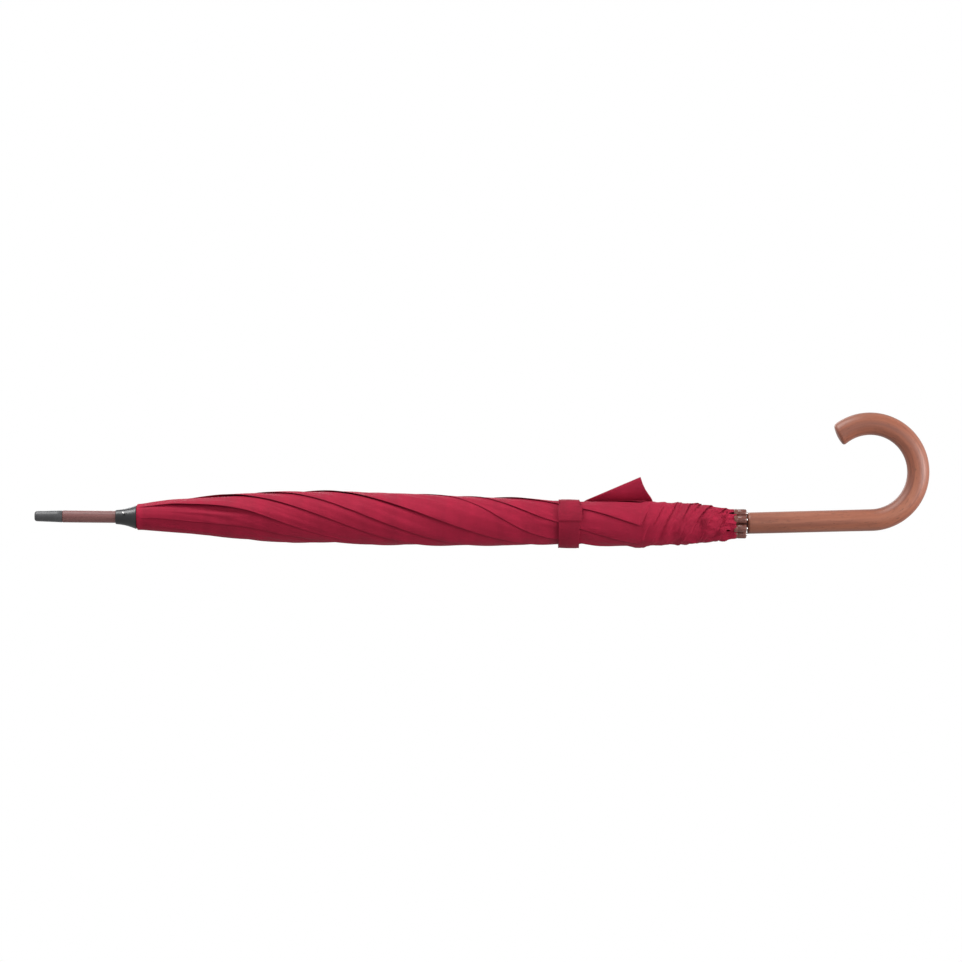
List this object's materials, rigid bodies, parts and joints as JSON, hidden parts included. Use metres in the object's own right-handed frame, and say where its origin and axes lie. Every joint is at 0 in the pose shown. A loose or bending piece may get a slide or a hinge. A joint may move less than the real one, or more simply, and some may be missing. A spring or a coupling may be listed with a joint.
{
  "type": "stick umbrella",
  "caption": "Furled full-length stick umbrella with a wound cloth canopy, closing strap, turned end tip, flared top cap and a wooden crook handle.",
  "frame": {"origin": "on the shaft axis at the middle of the straight part of the grip, where a hand holds it", "axes": "+Z along the shaft towards the end tip, +X the way the crook bends, +Y completes the right-handed set"},
  "size_m": [0.1368, 0.0516, 0.8905],
  "materials": {
    "shaft_wood": "satin varnish, mauve brown",
    "handle_wood": "satin lacquer, red brown",
    "tip_plastic": "dark gunmetal grey, semi-gloss",
    "black_plastic": "gloss black moulding",
    "brown_plastic": "gloss brown moulding",
    "bright_steel": "bright drawn wire",
    "black_steel": "black enamelled fluted steel",
    "canopy_cloth": "burgundy plain-weave polyester, soft sheen"
  },
  "bodies": {
    "root": {"shaft": "shaft_wood", "handle": "handle_wood", "end_tip": "tip_plastic", "top_cap": "black_plastic", "cap_pin": "bright_steel", "top_notch": "black_plastic", "notch_wire": "bright_steel", "stop_pin": "bright_steel"},
    "runner": {"runner": "black_plastic", "runner_wire": "bright_steel"},
    "top_spring": {"top_spring": "bright_steel"},
    "bottom_spring": {"bottom_spring": "bright_steel"},
    "strap_tab": {"strap_tab": "canopy_cloth"},
    "rib_1": {"rib_inner_1": "black_steel"},
    "rib_outer_1": {"rib_outer_1": "black_steel", "rib_tip_1": "brown_plastic"},
    "stretcher_1": {"stretcher_1": "black_steel"},
    "canopy_lower_1": {"canopy_lower_1": "canopy_cloth"},
    "canopy_upper_1": {"canopy_upper_1": "canopy_cloth"},
    "rib_2": {"rib_inner_2": "black_steel"},
    "rib_outer_2": {"rib_outer_2": "black_steel", "rib_tip_2": "brown_plastic"},
    "stretcher_2": {"stretcher_2": "black_steel"},
    "canopy_lower_2": {"canopy_lower_2": "canopy_cloth"},
    "rib_3": {"rib_inner_3": "black_steel"},
    "rib_outer_3": {"rib_outer_3": "black_steel", "rib_tip_3": "brown_plastic"},
    "stretcher_3": {"stretcher_3": "black_steel"},
    "canopy_lower_3": {"canopy_lower_3": "canopy_cloth"},
    "canopy_upper_3": {"canopy_upper_3": "canopy_cloth"},
    "rib_4": {"rib_inner_4": "black_steel"},
    "rib_outer_4": {"rib_outer_4": "black_steel", "rib_tip_4": "brown_plastic"},
    "stretcher_4": {"stretcher_4": "black_steel"},
    "canopy_lower_4": {"canopy_lower_4": "canopy_cloth"},
    "rib_5": {"rib_inner_5": "black_steel"},
    "rib_outer_5": {"rib_outer_5": "black_steel", "rib_tip_5": "brown_plastic"},
    "stretcher_5": {"stretcher_5": "black_steel"},
    "canopy_lower_5": {"canopy_lower_5": "canopy_cloth"},
    "canopy_upper_5": {"canopy_upper_5": "canopy_cloth"},
    "rib_6": {"rib_inner_6": "black_steel"},
    "rib_outer_6": {"rib_outer_6": "black_steel", "rib_tip_6": "brown_plastic"},
    "stretcher_6": {"stretcher_6": "black_steel"},
    "canopy_lower_6": {"canopy_lower_6": "canopy_cloth"},
    "rib_7": {"rib_inner_7": "black_steel"},
    "rib_outer_7": {"rib_outer_7": "black_steel", "rib_tip_7": "brown_plastic", "strap": "canopy_cloth"},
    "stretcher_7": {"stretcher_7": "black_steel"},
    "canopy_lower_7": {"canopy_lower_7": "canopy_cloth"},
    "canopy_upper_7": {"canopy_upper_7": "canopy_cloth"},
    "rib_8": {"rib_inner_8": "black_steel"},
    "rib_outer_8": {"rib_outer_8": "black_steel", "rib_tip_8": "brown_plastic"},
    "stretcher_8": {"stretcher_8": "black_steel"},
    "canopy_lower_8": {"canopy_lower_8": "canopy_cloth"}
  },
  "joints": [
    {"name": "canopy_open", "type": "hinge", "parent": "root", "child": "rib_1", "pos_m": [0.00785, 0.00325, 0.664], "axis": [0.3827, -0.9239, 0], "range_deg": [0, 76], "deforming": ["strap", "strap_tab"]},
    {"name": "stretcher_1_fold", "type": "hinge", "parent": "rib_1", "child": "stretcher_1", "pos_m": [0.00785, 0.00325, 0.424], "axis": [0.3827, -0.9239, 0], "range_deg": [-152, 0]},
    {"name": "rib_1_bend", "type": "hinge", "parent": "rib_1", "child": "rib_outer_1", "pos_m": [0.01127, 0.00467, 0.418], "axis": [0.3827, -0.9239, 0], "range_deg": [-18, 0]},
    {"name": "canopy_upper_1_spread", "type": "hinge", "parent": "rib_1", "child": "canopy_upper_1", "pos_m": [0.00595, 0.00247, 0.67225], "axis": [0.8964, 0.3713, 0.2419], "range_deg": [0, 90]},
    {"name": "canopy_lower_1_spread", "type": "hinge", "parent": "rib_outer_1", "child": "canopy_lower_1", "pos_m": [-0.06637, -0.02749, 0.65802], "axis": [0.7835, 0.3245, 0.5299], "range_deg": [0, 45]},
    {"name": "runner_lift", "type": "hinge", "parent": "stretcher_1", "child": "runner", "pos_m": [0.00785, 0.00325, 0.184], "axis": [0.3827, -0.9239, 0], "range_deg": [0, 76]},
    {"name": "rib_2_swing", "type": "hinge", "parent": "root", "child": "rib_2", "pos_m": [0.00325, 0.00785, 0.664], "axis": [0.9239, -0.3827, 0], "range_deg": [0, 76]},
    {"name": "stretcher_2_fold", "type": "hinge", "parent": "rib_2", "child": "stretcher_2", "pos_m": [0.00325, 0.00785, 0.424], "axis": [0.9239, -0.3827, 0], "range_deg": [-152, 0]},
    {"name": "rib_2_bend", "type": "hinge", "parent": "rib_2", "child": "rib_outer_2", "pos_m": [0.00467, 0.01127, 0.418], "axis": [0.9239, -0.3827, 0], "range_deg": [-18, 0]},
    {"name": "canopy_lower_2_spread", "type": "hinge", "parent": "rib_outer_2", "child": "canopy_lower_2", "pos_m": [-0.02749, -0.06637, 0.65802], "axis": [0.3245, 0.7835, 0.5299], "range_deg": [0, 45]},
    {"name": "rib_3_swing", "type": "hinge", "parent": "root", "child": "rib_3", "pos_m": [-0.00325, 0.00785, 0.664], "axis": [0.9239, 0.3827, 0], "range_deg": [0, 76]},
    {"name": "stretcher_3_fold", "type": "hinge", "parent": "rib_3", "child": "stretcher_3", "pos_m": [-0.00325, 0.00785, 0.424], "axis": [0.9239, 0.3827, 0], "range_deg": [-152, 0]},
    {"name": "rib_3_bend", "type": "hinge", "parent": "rib_3", "child": "rib_outer_3", "pos_m": [-0.00467, 0.01127, 0.418], "axis": [0.9239, 0.3827, 0], "range_deg": [-18, 0]},
    {"name": "canopy_upper_3_spread", "type": "hinge", "parent": "rib_3", "child": "canopy_upper_3", "pos_m": [-0.00247, 0.00595, 0.67225], "axis": [-0.3713, 0.8964, 0.2419], "range_deg": [0, 90]},
    {"name": "canopy_lower_3_spread", "type": "hinge", "parent": "rib_outer_3", "child": "canopy_lower_3", "pos_m": [0.02749, -0.06637, 0.65802], "axis": [-0.3245, 0.7835, 0.5299], "range_deg": [0, 45]},
    {"name": "rib_4_swing", "type": "hinge", "parent": "root", "child": "rib_4", "pos_m": [-0.00785, 0.00325, 0.664], "axis": [0.3827, 0.9239, 0], "range_deg": [0, 76]},
    {"name": "stretcher_4_fold", "type": "hinge", "parent": "rib_4", "child": "stretcher_4", "pos_m": [-0.00785, 0.00325, 0.424], "axis": [0.3827, 0.9239, 0], "range_deg": [-152, 0]},
    {"name": "rib_4_bend", "type": "hinge", "parent": "rib_4", "child": "rib_outer_4", "pos_m": [-0.01127, 0.00467, 0.418], "axis": [0.3827, 0.9239, 0], "range_deg": [-18, 0]},
    {"name": "canopy_lower_4_spread", "type": "hinge", "parent": "rib_outer_4", "child": "canopy_lower_4", "pos_m": [0.06637, -0.02749, 0.65802], "axis": [-0.7835, 0.3245, 0.5299], "range_deg": [0, 45]},
    {"name": "rib_5_swing", "type": "hinge", "parent": "root", "child": "rib_5", "pos_m": [-0.00785, -0.00325, 0.664], "axis": [-0.3827, 0.9239, 0], "range_deg": [0, 76]},
    {"name": "stretcher_5_fold", "type": "hinge", "parent": "rib_5", "child": "stretcher_5", "pos_m": [-0.00785, -0.00325, 0.424], "axis": [-0.3827, 0.9239, 0], "range_deg": [-152, 0]},
    {"name": "rib_5_bend", "type": "hinge", "parent": "rib_5", "child": "rib_outer_5", "pos_m": [-0.01127, -0.00467, 0.418], "axis": [-0.3827, 0.9239, 0], "range_deg": [-18, 0]},
    {"name": "canopy_upper_5_spread", "type": "hinge", "parent": "rib_5", "child": "canopy_upper_5", "pos_m": [-0.00595, -0.00247, 0.67225], "axis": [-0.8964, -0.3713, 0.2419], "range_deg": [0, 90]},
    {"name": "canopy_lower_5_spread", "type": "hinge", "parent": "rib_outer_5", "child": "canopy_lower_5", "pos_m": [0.06637, 0.02749, 0.65802], "axis": [-0.7835, -0.3245, 0.5299], "range_deg": [0, 45]},
    {"name": "rib_6_swing", "type": "hinge", "parent": "root", "child": "rib_6", "pos_m": [-0.00325, -0.00785, 0.664], "axis": [-0.9239, 0.3827, 0], "range_deg": [0, 76]},
    {"name": "stretcher_6_fold", "type": "hinge", "parent": "rib_6", "child": "stretcher_6", "pos_m": [-0.00325, -0.00785, 0.424], "axis": [-0.9239, 0.3827, 0], "range_deg": [-152, 0]},
    {"name": "rib_6_bend", "type": "hinge", "parent": "rib_6", "child": "rib_outer_6", "pos_m": [-0.00467, -0.01127, 0.418], "axis": [-0.9239, 0.3827, 0], "range_deg": [-18, 0]},
    {"name": "canopy_lower_6_spread", "type": "hinge", "parent": "rib_outer_6", "child": "canopy_lower_6", "pos_m": [0.02749, 0.06637, 0.65802], "axis": [-0.3245, -0.7835, 0.5299], "range_deg": [0, 45]},
    {"name": "rib_7_swing", "type": "hinge", "parent": "root", "child": "rib_7", "pos_m": [0.00325, -0.00785, 0.664], "axis": [-0.9239, -0.3827, 0], "range_deg": [0, 76]},
    {"name": "stretcher_7_fold", "type": "hinge", "parent": "rib_7", "child": "stretcher_7", "pos_m": [0.00325, -0.00785, 0.424], "axis": [-0.9239, -0.3827, 0], "range_deg": [-152, 0]},
    {"name": "rib_7_bend", "type": "hinge", "parent": "rib_7", "child": "rib_outer_7", "pos_m": [0.00467, -0.01127, 0.418], "axis": [-0.9239, -0.3827, 0], "range_deg": [-18, 0]},
    {"name": "canopy_upper_7_spread", "type": "hinge", "parent": "rib_7", "child": "canopy_upper_7", "pos_m": [0.00247, -0.00595, 0.67225], "axis": [0.3713, -0.8964, 0.2419], "range_deg": [0, 90]},
    {"name": "canopy_lower_7_spread", "type": "hinge", "parent": "rib_outer_7", "child": "canopy_lower_7", "pos_m": [-0.02749, 0.06637, 0.65802], "axis": [0.3245, -0.7835, 0.5299], "range_deg": [0, 45]},
    {"name": "rib_8_swing", "type": "hinge", "parent": "root", "child": "rib_8", "pos_m": [0.00785, -0.00325, 0.664], "axis": [-0.3827, -0.9239, 0], "range_deg": [0, 76]},
    {"name": "stretcher_8_fold", "type": "hinge", "parent": "rib_8", "child": "stretcher_8", "pos_m": [0.00785, -0.00325, 0.424], "axis": [-0.3827, -0.9239, 0], "range_deg": [-152, 0]},
    {"name": "rib_8_bend", "type": "hinge", "parent": "rib_8", "child": "rib_outer_8", "pos_m": [0.01127, -0.00467, 0.418], "axis": [-0.3827, -0.9239, 0], "range_deg": [-18, 0]},
    {"name": "canopy_lower_8_spread", "type": "hinge", "parent": "rib_outer_8", "child": "canopy_lower_8", "pos_m": [-0.06637, 0.02749, 0.65802], "axis": [0.7835, -0.3245, 0.5299], "range_deg": [0, 45]},
    {"name": "top_spring_press", "type": "hinge", "parent": "root", "child": "top_spring", "pos_m": [0, -0.0032, 0.44], "axis": [-1, 0, 0], "range_deg": [0, 4], "stiffness_Nm_per_rad": 1, "deforming": ["top_spring"]},
    {"name": "bottom_spring_press", "type": "hinge", "parent": "root", "child": "bottom_spring", "pos_m": [0, -0.0032, 0.084], "axis": [-1, 0, 0], "range_deg": [0, 4], "stiffness_Nm_per_rad": 1, "deforming": ["bottom_spring"]},
    {"name": "strap_release", "type": "hinge", "parent": "rib_outer_7", "child": "strap_tab", "pos_m": [0.01992, -0.0115, 0.239], "axis": [0, 0, 1], "range_deg": [0, 100]}
  ],
  "couplings": [
    {"joint": "stretcher_1_fold", "follows": "canopy_open", "ratio": -2},
    {"joint": "rib_1_bend", "follows": "canopy_open", "ratio": -0.23684},
    {"joint": "canopy_upper_1_spread", "follows": "canopy_open", "ratio": 1.1842},
    {"joint": "canopy_lower_1_spread", "follows": "canopy_open", "ratio": 0.59211},
    {"joint": "runner_lift", "follows": "canopy_open", "ratio": 1},
    {"joint": "rib_2_swing", "follows": "canopy_open", "ratio": 1},
    {"joint": "stretcher_2_fold", "follows": "canopy_open", "ratio": -2},
    {"joint": "rib_2_bend", "follows": "canopy_open", "ratio": -0.23684},
    {"joint": "canopy_lower_2_spread", "follows": "canopy_open", "ratio": 0.59211},
    {"joint": "rib_3_swing", "follows": "canopy_open", "ratio": 1},
    {"joint": "stretcher_3_fold", "follows": "canopy_open", "ratio": -2},
    {"joint": "rib_3_bend", "follows": "canopy_open", "ratio": -0.23684},
    {"joint": "canopy_upper_3_spread", "follows": "canopy_open", "ratio": 1.1842},
    {"joint": "canopy_lower_3_spread", "follows": "canopy_open", "ratio": 0.59211},
    {"joint": "rib_4_swing", "follows": "canopy_open", "ratio": 1},
    {"joint": "stretcher_4_fold", "follows": "canopy_open", "ratio": -2},
    {"joint": "rib_4_bend", "follows": "canopy_open", "ratio": -0.23684},
    {"joint": "canopy_lower_4_spread", "follows": "canopy_open", "ratio": 0.59211},
    {"joint": "rib_5_swing", "follows": "canopy_open", "ratio": 1},
    {"joint": "stretcher_5_fold", "follows": "canopy_open", "ratio": -2},
    {"joint": "rib_5_bend", "follows": "canopy_open", "ratio": -0.23684},
    {"joint": "canopy_upper_5_spread", "follows": "canopy_open", "ratio": 1.1842},
    {"joint": "canopy_lower_5_spread", "follows": "canopy_open", "ratio": 0.59211},
    {"joint": "rib_6_swing", "follows": "canopy_open", "ratio": 1},
    {"joint": "stretcher_6_fold", "follows": "canopy_open", "ratio": -2},
    {"joint": "rib_6_bend", "follows": "canopy_open", "ratio": -0.23684},
    {"joint": "canopy_lower_6_spread", "follows": "canopy_open", "ratio": 0.59211},
    {"joint": "rib_7_swing", "follows": "canopy_open", "ratio": 1},
    {"joint": "stretcher_7_fold", "follows": "canopy_open", "ratio": -2},
    {"joint": "rib_7_bend", "follows": "canopy_open", "ratio": -0.23684},
    {"joint": "canopy_upper_7_spread", "follows": "canopy_open", "ratio": 1.1842},
    {"joint": "canopy_lower_7_spread", "follows": "canopy_open", "ratio": 0.59211},
    {"joint": "rib_8_swing", "follows": "canopy_open", "ratio": 1},
    {"joint": "stretcher_8_fold", "follows": "canopy_open", "ratio": -2},
    {"joint": "rib_8_bend", "follows": "canopy_open", "ratio": -0.23684},
    {"joint": "canopy_lower_8_spread", "follows": "canopy_open", "ratio": 0.59211}
  ]
}
